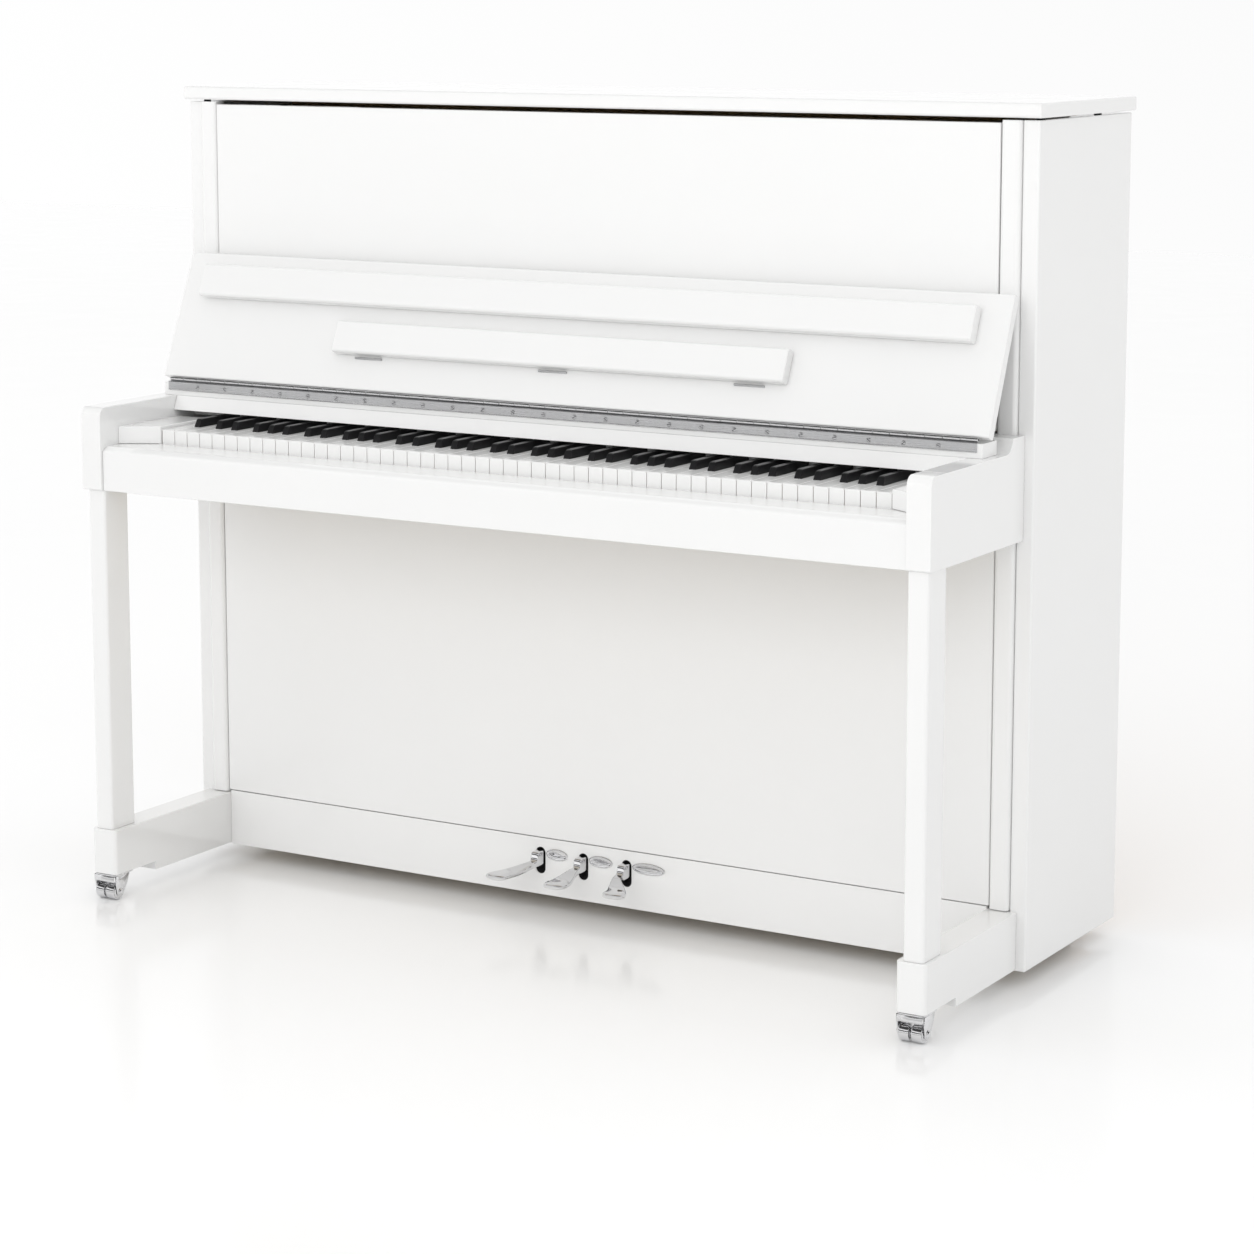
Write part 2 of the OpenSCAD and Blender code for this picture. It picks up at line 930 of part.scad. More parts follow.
side_panel_left();
side_panel_right();
pilasters();
bottom_board();
key_bed();
arm_left();
arm_right();
legs();
toe_blocks();
plinth();
key_slip();
key_blocks();
fallboard_rail();
name_board();
upper_panel();
lower_panel();
back_frame();
soundboard();
iron_frame();
strings();
tuning_pins();
action_frame();
hammers();
dampers();
key_frame();
caster_forks();
pedal_plates();
fallboard_hinge();
top_lid();
lid_hinge();
fallboard();
fallboard_lip();
music_ledge();
ledge_hinges();
white_keys(0, octave_start - 1);  // white_keys_bass
black_keys(0, octave_start - 1);  // black_keys_bass
white_keys(octave_end + 1, white_count - 1);  // white_keys_treble
black_keys(octave_end + 1, white_count - 1);  // black_keys_treble
white_key(octave_start);  // key_c
black_key(octave_start);  // key_c_sharp
white_key(octave_start + 1);  // key_d
black_key(octave_start + 1);  // key_d_sharp
white_key(octave_start + 2);  // key_e
white_key(octave_start + 3);  // key_f
black_key(octave_start + 3);  // key_f_sharp
white_key(octave_start + 4);  // key_g
black_key(octave_start + 4);  // key_g_sharp
white_key(octave_start + 5);  // key_a
black_key(octave_start + 5);  // key_a_sharp
white_key(octave_start + 6);  // key_b
pedal_left();
pedal_middle();
pedal_right();
trap_rod(-1);  // trap_rod_left
trap_rod(0);  // trap_rod_middle
trap_rod(1);  // trap_rod_right
wheel_pair(-caster_x, front_caster_y);  // wheels_front_left
wheel_pair(caster_x, front_caster_y);  // wheels_front_right
wheel_pair(-rear_caster_x, rear_caster_y);  // wheels_rear_left
wheel_pair(rear_caster_x, rear_caster_y);  // wheels_rear_right
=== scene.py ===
import bpy
import bmesh
import json
import math
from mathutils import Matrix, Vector


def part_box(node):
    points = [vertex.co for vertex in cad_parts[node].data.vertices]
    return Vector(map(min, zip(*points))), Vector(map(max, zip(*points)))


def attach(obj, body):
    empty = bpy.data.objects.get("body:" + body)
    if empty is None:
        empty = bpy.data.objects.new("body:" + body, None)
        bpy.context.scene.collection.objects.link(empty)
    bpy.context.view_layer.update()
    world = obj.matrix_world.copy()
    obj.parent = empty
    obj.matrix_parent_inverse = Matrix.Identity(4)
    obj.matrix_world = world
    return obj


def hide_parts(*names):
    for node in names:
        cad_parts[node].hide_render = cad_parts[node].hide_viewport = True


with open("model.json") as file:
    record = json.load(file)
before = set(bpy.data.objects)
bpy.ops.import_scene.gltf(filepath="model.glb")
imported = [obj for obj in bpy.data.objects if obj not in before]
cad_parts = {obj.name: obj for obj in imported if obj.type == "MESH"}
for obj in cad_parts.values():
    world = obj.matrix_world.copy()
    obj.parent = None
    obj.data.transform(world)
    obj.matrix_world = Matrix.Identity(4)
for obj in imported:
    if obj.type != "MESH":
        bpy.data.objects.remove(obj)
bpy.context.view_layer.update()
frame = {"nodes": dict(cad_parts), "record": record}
NODES = frame["nodes"]

# planes of the keyboard, in metres, from the CAD nodes
KEY_LOW, KEY_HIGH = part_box("key_e")
KEY_LINES = {
    "key_front": KEY_LOW[1],
    "cover_bottom": KEY_HIGH[2] - 0.0025,
    "cover_back": -0.0848,
    "sharp_foot": KEY_HIGH[2] - 0.004,
}

# axes and pitches that several pieces share, in metres
HINGE_AXIS = (-0.121, 0.7815)  # y and z of the fallboard hinge
BOARD_LEAN = math.radians(23)
LEDGE_AXIS = (-0.0034, 0.0525)  # through and along the open fallboard
PEDAL_PITCH = 0.075
PLATE_OFFSET = 0.010  # from the middle of a pedal slot to its oval plate
PLINTH_FACE = -0.020
WHEEL_RADIUS = 0.013
NOTES = 88
PIN_PITCH = 0.0136
FIRST_PIN = -0.6
BACK_BAYS = 4

# ------------------------------------------------------------------ camera, light and floor


def make_camera():
    """Camera at the photograph's viewing angle."""
    data = bpy.data.cameras.new("camera")
    cam = bpy.data.objects.new("camera", data)
    bpy.context.scene.collection.objects.link(cam)
    data.sensor_width = 36.0
    data.lens = 94.826
    data.shift_y = -0.12
    data.clip_start, data.clip_end = 0.1, 60.0
    data.dof.use_dof = False
    cam.location = (2.4969, -4.1082, 1.3852)
    cam.rotation_euler = (math.radians(90 - 8.521), 0.0, math.radians(30.635))
    bpy.context.scene.camera = cam
    return cam


def area_light(name, place, target, size, power):
    """A soft rectangular lamp, left out of mirror reflections."""
    data = bpy.data.lights.new(name, "AREA")
    data.shape = "RECTANGLE"
    data.size, data.size_y = size
    data.energy = power
    lamp = bpy.data.objects.new(name, data)
    bpy.context.scene.collection.objects.link(lamp)
    lamp.location = place
    lamp.visible_glossy = False
    aim = Vector(target) - Vector(place)
    lamp.rotation_euler = aim.to_track_quat("-Z", "Y").to_euler()
    return lamp


BRIGHT_SIDE = (-0.27, -0.83, -0.48)
WORLD_LIGHT = (0.93, 1.17)
DARK_CEILING = (0.4, 0.5, 1.0, 0.05)  # heights it fades over, then the brightness below and above
BAND_HEIGHT = 0.18
BAND_EDGE = (0.08, 0.11, 0.03, 1.0)  # distances from its middle, then the brightness inside and outside
BAND_END = (-0.4, -0.2, 0.0, 1.0)  # from the front, where it shows, to the sides, where it ends


def make_world():
    """A white studio, brighter at the front left; its dark ceiling and band show only in reflections."""
    world = bpy.data.worlds.new("studio")
    bpy.context.scene.world = world
    world.use_nodes = True
    tree = world.node_tree
    back = tree.nodes["Background"]
    back.inputs["Color"].default_value = (1.0, 1.0, 1.0, 1.0)
    coords = tree.nodes.new("ShaderNodeTexCoord")

    def span(value, start, end, low, high):
        made = tree.nodes.new("ShaderNodeMapRange")
        for key, number in zip(("From Min", "From Max", "To Min", "To Max"), (start, end, low, high)):
            made.inputs[key].default_value = number
        tree.links.new(value, made.inputs["Value"])
        return made.outputs["Result"]

    def calc(kind, a, b):
        made = tree.nodes.new("ShaderNodeMath")
        made.operation = kind
        for socket, value in zip(made.inputs, (a, b)):
            if isinstance(value, float):
                socket.default_value = value
            else:
                tree.links.new(value, socket)
        return made.outputs[0]

    side = tree.nodes.new("ShaderNodeVectorMath")
    side.operation = "DOT_PRODUCT"
    side.inputs[1].default_value = BRIGHT_SIDE
    tree.links.new(coords.outputs["Generated"], side.inputs[0])
    glow = span(side.outputs["Value"], -1.0, 1.0, *WORLD_LIGHT)
    split = tree.nodes.new("ShaderNodeSeparateXYZ")
    tree.links.new(coords.outputs["Generated"], split.inputs[0])
    ceiling = span(split.outputs["Z"], *DARK_CEILING)
    height = calc("ABSOLUTE", calc("SUBTRACT", split.outputs["Z"], BAND_HEIGHT), 0.0)
    band = calc("MAXIMUM", span(height, *BAND_EDGE), span(split.outputs["Y"], *BAND_END))
    mirrored = calc("MULTIPLY", glow, calc("MINIMUM", ceiling, band))
    path = tree.nodes.new("ShaderNodeLightPath")
    choose = tree.nodes.new("ShaderNodeMix")
    tree.links.new(path.outputs["Is Glossy Ray"], choose.inputs[0])
    tree.links.new(glow, choose.inputs[2])
    tree.links.new(mirrored, choose.inputs[3])
    tree.links.new(choose.outputs[0], back.inputs["Strength"])


# ------------------------------------------------------------------ materials


class Shader:
    """A node material built around one Principled shader."""

    def __init__(self, name, **sockets):
        self.material = bpy.data.materials.new(name)
        self.material.use_nodes = True
        self.tree = self.material.node_tree
        self.bsdf = self.tree.nodes["Principled BSDF"]
        for key, value in sockets.items():
            self.set(key.replace("_", " "), value)

    def set(self, socket, value):
        target = self.bsdf.inputs[socket]
        target.default_value = (*value, 1.0) if isinstance(value, tuple) else value

    def node(self, kind, **settings):
        made = self.tree.nodes.new(kind)
        for key, value in settings.items():
            setattr(made, key, value)
        return made

    def link(self, out, into):
        self.tree.links.new(out, into)
        return into

    def place(self, scale=(1, 1, 1), turn=(0, 0, 0)):
        """Object coordinates in metres, stretched and turned."""
        coords = self.node("ShaderNodeTexCoord")
        mapping = self.node("ShaderNodeMapping")
        mapping.inputs["Scale"].default_value = scale
        mapping.inputs["Rotation"].default_value = turn
        self.link(coords.outputs["Object"], mapping.inputs["Vector"])
        return mapping.outputs["Vector"]

    def axis(self, name):
        """One object coordinate in metres."""
        coords = self.node("ShaderNodeTexCoord")
        split = self.node("ShaderNodeSeparateXYZ")
        self.link(coords.outputs["Object"], split.inputs["Vector"])
        return split.outputs[name]

    def noise(self, vector, scale, detail=3.0, rough=0.55, distortion=0.0):
        tex = self.node("ShaderNodeTexNoise")
        tex.inputs["Scale"].default_value = scale
        tex.inputs["Detail"].default_value = detail
        tex.inputs["Roughness"].default_value = rough
        tex.inputs["Distortion"].default_value = distortion
        self.link(vector, tex.inputs["Vector"])
        return tex.outputs["Fac"]

    def math(self, kind, a, b=0.0, c=0.0, clamp=False):
        made = self.node("ShaderNodeMath", operation=kind, use_clamp=clamp)
        for socket, value in zip(made.inputs, (a, b, c)):
            if isinstance(value, (int, float)):
                socket.default_value = value
            else:
                self.link(value, socket)
        return made.outputs[0]

    def ramp(self, value, low, high, start=0.0, end=1.0):
        """Maps start..end to low..high, which are numbers."""
        made = self.node("ShaderNodeMapRange")
        for key, number in zip(("From Min", "From Max", "To Min", "To Max"), (start, end, low, high)):
            made.inputs[key].default_value = number
        self.link(value, made.inputs["Value"])
        return made.outputs["Result"]

    def mix(self, factor, a, b):
        """Mixes two colours, each a tuple or a socket."""
        made = self.node("ShaderNodeMix", data_type="RGBA")
        if isinstance(factor, (int, float)):
            made.inputs["Factor"].default_value = factor
        else:
            self.link(factor, made.inputs["Factor"])
        for key, value in (("A", a), ("B", b)):
            socket = [s for s in made.inputs if s.name == key and s.type == "RGBA"][0]
            if isinstance(value, tuple):
                socket.default_value = (*value, 1.0)
            else:
                self.link(value, socket)
        return [s for s in made.outputs if s.type == "RGBA"][0]

    def bump(self, height, strength, distance):
        made = self.node("ShaderNodeBump")
        made.inputs["Strength"].default_value = strength
        made.inputs["Distance"].default_value = distance
        self.link(height, made.inputs["Height"])
        self.link(made.outputs["Normal"], self.bsdf.inputs["Normal"])
        return made

    def colour(self, socket):
        self.link(socket, self.bsdf.inputs["Base Color"])

    def rough(self, socket):
        self.link(socket, self.bsdf.inputs["Roughness"])


def white_lacquer():
    """Polished white polyester: near-mirror coat, a faint orange peel and a faint mottle."""
    s = Shader("white_lacquer", Roughness=0.1, IOR=1.5, Coat_Weight=0.35, Coat_Roughness=0.03)
    at = s.place()
    s.colour(s.mix(s.noise(at, 2.5, 2.0), (0.86, 0.86, 0.855), (0.88, 0.88, 0.875)))
    s.rough(s.ramp(s.noise(at, 14.0, 4.0), 0.07, 0.13, 0.3, 0.7))
    s.bump(s.noise(at, 90.0, 2.0), 0.02, 0.0006)
    return s.material


def wood(name, light, dark, along="X", line=38.0, rough=(0.45, 0.6)):
    """Planed wood with long grain lines along one axis."""
    s = Shader(name, Specular_IOR_Level=0.35)
    stretch = {"X": (0.06, 1, 1), "Y": (1, 0.06, 1), "Z": (1, 1, 0.06)}[along]
    at = s.place(stretch)
    coarse = s.noise(at, line, 5.0, 0.6, 0.4)
    fine = s.noise(at, line * 9, 3.0, 0.6)
    tone = s.math("ADD", s.math("MULTIPLY", coarse, 0.7), s.math("MULTIPLY", fine, 0.3))
    s.colour(s.mix(s.ramp(tone, 0.0, 1.0, 0.35, 0.65), light, dark))
    s.rough(s.ramp(fine, rough[0], rough[1], 0.3, 0.7))
    s.bump(tone, 0.2, 0.0008)
    return s.material


def metal(name, base, rough, brushed=None):
    """Plated metal: clean, with faint handling haze, or brushed along one axis."""
    s = Shader(name, Metallic=1.0)
    stretch = {None: (1, 1, 1), "X": (0.02, 1, 1), "Y": (1, 0.02, 1), "Z": (1, 1, 0.02)}[brushed]
    at = s.place(stretch)
    haze = s.noise(at, 30.0, 4.0)
    s.colour(s.mix(haze, tuple(c * 0.9 for c in base), base))
    lines = s.noise(at, 900.0 if brushed else 55.0, 4.0, 0.65)
    s.rough(s.ramp(lines, rough * 0.7, rough * 1.3, 0.3, 0.7))
    if brushed:
        s.bump(lines, 0.25, 0.0002)
    else:
        s.bump(s.noise(at, 40.0, 2.0), 0.03, 0.0004)
    return s.material


def cast_iron():
    """Sand-cast plate under bronze paint: pebbled, with duller hollows."""
    s = Shader("bronzed_iron", Metallic=0.55, Coat_Weight=0.2, Coat_Roughness=0.25)
    at = s.place()
    grit = s.noise(at, 420.0, 4.0, 0.6)
    patch = s.noise(at, 9.0, 3.0)
    s.colour(s.mix(patch, (0.42, 0.28, 0.09), (0.58, 0.42, 0.16)))
    s.rough(s.ramp(grit, 0.3, 0.5, 0.3, 0.7))
    s.bump(grit, 0.35, 0.0006)
    return s.material


def key_covering():
    """Moulded white tops and fronts, on spruce sticks below and behind them."""
    s = Shader("key_covering", Roughness=0.2, IOR=1.5, Coat_Weight=0.25, Coat_Roughness=0.08)
    at = s.place()
    back, low, start = KEY_LINES["cover_back"], KEY_LINES["cover_bottom"], KEY_LINES["key_front"] + 0.002
    behind = s.math("GREATER_THAN", s.axis("Y"), back)
    below = s.math("LESS_THAN", s.axis("Z"), low)
    inside = s.math("GREATER_THAN", s.axis("Y"), start)
    stick = s.math("MAXIMUM", behind, s.math("MULTIPLY", below, inside))
    white = s.mix(s.noise(at, 18.0), (0.87, 0.87, 0.862), (0.895, 0.895, 0.888))
    grain = s.noise(s.place((1, 0.05, 1)), 300.0, 4.0, 0.6, 0.3)
    s.colour(s.mix(stick, white, s.mix(grain, (0.62, 0.45, 0.26), (0.48, 0.32, 0.17))))
    s.rough(s.math("ADD", s.ramp(s.noise(at, 70.0), 0.14, 0.22), s.math("MULTIPLY", stick, 0.35)))
    s.bump(s.math("MULTIPLY", grain, stick), 0.2, 0.0005)
    return s.material


def key_ebony():
    """Satin black caps with a fine drawn grain, on spruce sticks."""
    s = Shader("key_ebony", IOR=1.5, Specular_IOR_Level=0.4)
    behind = s.math("GREATER_THAN", s.axis("Y"), KEY_LINES["cover_back"])
    below = s.math("LESS_THAN", s.axis("Z"), KEY_LINES["sharp_foot"])
    stick = s.math("MAXIMUM", behind, below)
    grain = s.noise(s.place((1, 0.04, 1)), 500.0, 4.0, 0.6, 0.2)
    black = s.mix(grain, (0.006, 0.006, 0.007), (0.013, 0.013, 0.014))
    s.colour(s.mix(stick, black, s.mix(grain, (0.62, 0.45, 0.26), (0.48, 0.32, 0.17))))
    s.rough(s.ramp(grain, 0.28, 0.42, 0.3, 0.7))
    s.bump(grain, 0.08, 0.0003)
    return s.material


def felt(name, light, dark):
    """Pressed wool: clouded colour, soft sheen and a fibrous surface."""
    s = Shader(name, Roughness=0.95, Sheen_Weight=0.5, Sheen_Roughness=0.5, Specular_IOR_Level=0.2)
    at = s.place()
    cloud = s.noise(at, 60.0, 5.0, 0.65, 0.5)
    fibre = s.noise(at, 1400.0, 5.0, 0.75, 1.5)
    tone = s.math("ADD", s.math("MULTIPLY", cloud, 0.6), s.math("MULTIPLY", fibre, 0.4))
    s.colour(s.mix(tone, dark, light))
    s.bump(fibre, 0.6, 0.0006)
    return s.material


def string_wire():
    """Copper winding in the bass, its turns drawn with a bump and with painted shade in the grooves between
    them; bare steel wire in front of it.
    """
    s = Shader("string_wire", Metallic=1.0)
    bass = s.math("LESS_THAN", s.axis("Y"), 0.173)
    wave = s.math("SINE", s.math("MULTIPLY", s.axis("Z"), 5200.0))
    # the winding is painted darker where the bump dips between turns: painted shade in the grooves
    copper_with_groove_shade = s.mix(s.ramp(wave, 0.0, 1.0, -1.0, 1.0), (0.34, 0.15, 0.07), (0.72, 0.38, 0.2))
    steel = s.mix(s.noise(s.place(), 80.0), (0.5, 0.5, 0.52), (0.66, 0.66, 0.68))
    s.colour(s.mix(bass, steel, copper_with_groove_shade))
    s.rough(s.ramp(s.noise(s.place(), 200.0), 0.2, 0.34))
    s.bump(s.math("MULTIPLY", wave, bass), 0.4, 0.0003)
    return s.material


def rubber():
    """Dull black moulded rubber."""
    s = Shader("black_rubber", Specular_IOR_Level=0.3)
    at = s.place()
    s.colour(s.mix(s.noise(at, 50.0), (0.012, 0.012, 0.012), (0.022, 0.022, 0.022)))
    s.rough(s.ramp(s.noise(at, 160.0, 4.0), 0.55, 0.75, 0.3, 0.7))
    s.bump(s.noise(at, 500.0, 3.0), 0.2, 0.0003)
    return s.material


MATERIALS = {}


def build_materials():
    MATERIALS["lacquer"] = white_lacquer()
    MATERIALS["bare_wood"] = wood("pale_beech", (0.8, 0.74, 0.64), (0.7, 0.62, 0.5))
    MATERIALS["post_wood"] = wood("spruce_post", (0.66, 0.46, 0.25), (0.5, 0.31, 0.15), "Z", 30.0)
    MATERIALS["dark_wood"] = wood("maple_rail", (0.36, 0.2, 0.1), (0.24, 0.12, 0.06))
    MATERIALS["spruce"] = wood("spruce", (0.7, 0.49, 0.26), (0.55, 0.35, 0.16), "Z", 60.0)
    MATERIALS["chrome"] = metal("chrome", (0.78, 0.78, 0.79), 0.06)
    MATERIALS["black_felt"] = felt("black_felt", (0.016, 0.016, 0.017), (0.008, 0.008, 0.009))
    MATERIALS["steel"] = metal("brushed_nickel", (0.62, 0.62, 0.63), 0.3, "X")
    MATERIALS["bright_steel"] = metal("bright_nickel", (0.82, 0.82, 0.83), 0.18)
    MATERIALS["gold_iron"] = cast_iron()
    MATERIALS["string_wire"] = string_wire()
    MATERIALS["key_white"] = key_covering()
    MATERIALS["key_black"] = key_ebony()
    MATERIALS["felt"] = felt("hammer_felt", (0.82, 0.79, 0.7), (0.66, 0.62, 0.52))
    MATERIALS["caster_wheel"] = metal("plated_roller", (0.78, 0.78, 0.79), 0.1)
    MATERIALS["rubber"] = rubber()
    # near-black steel standing in for the shade in gaps and recesses, such as between the hinge knuckles and
    # in the screw slots: painted shade
    MATERIALS["dark_gap"] = metal("painted_gap_shade_steel", (0.05, 0.05, 0.055), 0.45)
    MATERIALS["rib_wood"] = wood("spruce_rib", (0.66, 0.45, 0.24), (0.52, 0.33, 0.16), "X", 60.0)


def paint_nodes():
    for part in frame["record"]["subparts"]:
        mesh = NODES[part["node"]].data
        mesh.materials.clear()
        mesh.materials.append(MATERIALS[part["material_slot"]])
    NODES["back_frame"].data.materials[0] = MATERIALS["post_wood"]


# ------------------------------------------------------------------ mesh forms


class Form:
    """Collects rings and faces for one piece, in metres."""

    def __init__(self):
        self.verts = []
        self.faces = []

    def loft(self, rings, close=False):
        """Skins a row of equal rings, capped at both ends unless it closes on itself."""
        n, base = len(rings[0]), len(self.verts)
        for ring in rings:
            self.verts.extend(tuple(p) for p in ring)
        for i in range(len(rings) if close else len(rings) - 1):
            a, b = base + i * n, base + ((i + 1) % len(rings)) * n
            self.faces += [(a + j, a + (j + 1) % n, b + (j + 1) % n, b + j) for j in range(n)]
        if not close:
            self.faces.append(tuple(range(base + n - 1, base - 1, -1)))
            self.faces.append(tuple(range(base + (len(rings) - 1) * n, base + len(rings) * n)))

    def lathe(self, profile, at, axis="X", n=32, close=False):
        """Turns (along, radius) pairs about an axis through a point."""
        rings = []
        for along, r in profile:
            ring = []
            for j in range(n):
                c, s = r * math.cos(math.tau * j / n), r * math.sin(math.tau * j / n)
                off = {"X": (along, c, s), "Y": (s, along, c), "Z": (c, s, along)}[axis]
                ring.append([at[i] + off[i] for i in range(3)])
            rings.append(ring)
        self.loft(rings, close)

    def slab(self, outline, x0, x1, round_by=0.0):
        """An outline in (y, z) extruded along X, its rim drawn in a little at both faces."""
        cy = sum(p[0] for p in outline) / len(outline)
        cz = sum(p[1] for p in outline) / len(outline)

        def ring(x, inset):
            made = []
            for y, z in outline:
                d = math.hypot(y - cy, z - cz) or 1.0
                k = 1.0 - inset / d
                made.append((x, cy + (y - cy) * k, cz + (z - cz) * k))
            return made

        if round_by:
            ends = ((x0, round_by), (x0 + round_by, 0), (x1 - round_by, 0), (x1, round_by))
            self.loft([ring(x, inset) for x, inset in ends])
        else:
            self.loft([ring(x0, 0), ring(x1, 0)])

    def piece(self, name, body, slot, material=None, replaces=(), bevel=0.0, smooth=True, subdivide=0):
        """Makes the object, paints it and lets it ride its body."""
        mesh = bpy.data.meshes.new(name)
        mesh.from_pydata(self.verts, [], self.faces)
        made = bmesh.new()
        made.from_mesh(mesh)
        bmesh.ops.recalc_face_normals(made, faces=made.faces)
        made.to_mesh(mesh)
        made.free()
        mesh.materials.append(MATERIALS[material or slot])
        for p in mesh.polygons:
            p.use_smooth = smooth
        o = bpy.data.objects.new(name, mesh)
        bpy.context.scene.collection.objects.link(o)
        if bevel:
            round_edges(o, bevel, 35)
        if subdivide:
            sub = o.modifiers.new("subdivide", "SUBSURF")
            sub.levels = sub.render_levels = subdivide
        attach(o, body)
        if replaces:
            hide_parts(*replaces)
        return o


def round_edges(o, width, angle):
    bevel = o.modifiers.new("bevel", "BEVEL")
    bevel.width = width
    bevel.segments = 3
    bevel.limit_method = "ANGLE"
    bevel.angle_limit = math.radians(angle)
    bevel.harden_normals = True
    bevel.use_clamp_overlap = True
    flat = o.modifiers.new("normals", "WEIGHTED_NORMAL")
    flat.keep_sharp = False


def soften(name, width, angle=30):
    """Rounds the edges of a CAD node with modifiers, which leave its mesh as it is."""
    o = NODES[name]
    weld = o.modifiers.new("weld", "WELD")
    weld.merge_threshold = 1e-5
    flat = o.modifiers.new("flat", "DECIMATE")
    flat.decimate_type = "DISSOLVE"
    flat.angle_limit = math.radians(1)
    round_edges(o, width, angle)
    for p in o.data.polygons:
        p.use_smooth = True


def oval(cx, cz, width, height, power, n=32):
    """Superellipse points in (x, z): 2 is an ellipse, larger is squarer."""
    points = []
    for j in range(n):
        c, s = math.cos(math.tau * j / n), math.sin(math.tau * j / n)
        points.append((
            cx + width / 2 * math.copysign(abs(c) ** (2 / power), c),
            cz + height / 2 * math.copysign(abs(s) ** (2 / power), s),
        ))
    return points


def ease(t):
    t = min(1.0, max(0.0, t))
    return t * t * (3 - 2 * t)


# ------------------------------------------------------------------ pedals


def pedal(side, name, sweep):
    """Chrome lever: flat bar inside, tall bar through the slot, square head, swan neck and rounded foot."""
    low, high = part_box("pedal_" + name)
    x = side * PEDAL_PITCH
    form = Form()
    rings = []

    def section(y, width, bottom, top, power, at=x):
        rings.append([(px, y, pz) for px, pz in oval(at, (bottom + top) / 2, width, top - bottom, power)])

    for y in (high[1], 0.10, 0.075, 0.045, 0.02):
        section(y, 0.0126, 0.0832, 0.0948, 8)
    section(0.006, 0.0128, 0.082, 0.0948, 8)
    section(0.002, 0.013, 0.0728, 0.0949, 8)
    for y in (-0.01, -0.02, -0.03, -0.035):
        section(y, 0.013, 0.0722, 0.0949, 7)
    section(-0.0368, 0.0128, 0.0722, 0.0945, 6)
    section(-0.038, 0.0125, 0.0722, 0.0925, 5)
    section(-0.0387, 0.0122, 0.0722, 0.0865, 5)
    section(-0.0395, 0.0124, 0.0722, 0.0822, 4.5)
    end, tip = -0.101, low[1] + 0.0004
    steps = 14
    for i in range(1, steps + 1):
        t = i / steps
        y = -0.0395 + t * (end + 0.0395)
        width = 0.0126 + (0.0352 - 0.0126) * ease(t * 1.12)
        top = 0.0822 - 0.0086 * ease(t * 1.3)
        bottom = 0.0722 - 0.0078 * ease(t * 1.3)
        section(y, width, bottom, top, 4.5 - 1.3 * t, x + sweep * ease(t))
    for k in (0.35, 0.6, 0.8, 0.92, 0.985, 1.0):
        y = end + k * (tip - end)
        width = 0.0352 * math.sqrt(max(0.0, 1 - k * k)) + 0.004 * k
        thin = 0.0046 - 0.0016 * k ** 4
        section(y, width, 0.069 - thin, 0.069 + thin, 3.2, x + sweep)
    form.loft(rings)
    form.piece("pedal_lever_" + name, "pedal_" + name, "chrome", replaces=("pedal_" + name,), subdivide=1)


def slot_linings():
    """Black felt sleeves that line the pedal slots."""
    form = Form()
    for x in (-PEDAL_PITCH, 0.0, PEDAL_PITCH):
        rings = []
        for y, r in ((-0.0192, 0.0084), (0.018, 0.0084), (0.018, 0.0078), (-0.0192, 0.0078)):
            ring = []
            for j in range(40):
                a = math.tau * (j + 0.5) / 40
                middle = 0.0905 if math.sin(a) > 0 else 0.0665
                ring.append((x + r * math.cos(a), y, middle + r * math.sin(a)))
            rings.append(ring)
        form.loft(rings, close=True)
    form.piece("slot_linings", "case", "felt", material="black_felt")


def pedal_plates():
    """Dished oval plates: a rolled rim round a shallow bowl, the last one with a bar across it."""
    form = Form()
    face, z, height = PLINTH_FACE, 0.090, 0.018
    for i, width in enumerate((0.038, 0.041, 0.056)):
        x = (i - 1) * PEDAL_PITCH + PLATE_OFFSET + width / 2
        rings = []
        for shrink, stand in ((0, 0.0002), (0, 0.0009), (0.0004, 0.0014), (0.0013, 0.0016), (0.0022, 0.0014),
                              (0.0030, 0.0009), (0.0042, 0.0006), (0.0060, 0.00045), (0.0078, 0.0004)):
            rim = oval(x, z, width - 2 * shrink, height - 2 * shrink, 2, 40)
            rings.append([(px, face - stand, pz) for px, pz in rim])
        form.loft(rings)
    form.piece("pedal_plate_ovals", "case", "chrome", replaces=("pedal_plates",))
    bar = Form()
    x = PEDAL_PITCH + PLATE_OFFSET + 0.028
    bar.loft([
        [(px, face - stand, pz) for px, pz in oval(x, z, 0.030 - 2 * shrink, 0.0036 - shrink, 5, 32)]
        for shrink, stand in ((0, 0.0003), (0, 0.0011), (0.0004, 0.0014))
    ])
    bar.piece("pedal_plate_bar", "case", "chrome")


# ------------------------------------------------------------------ casters


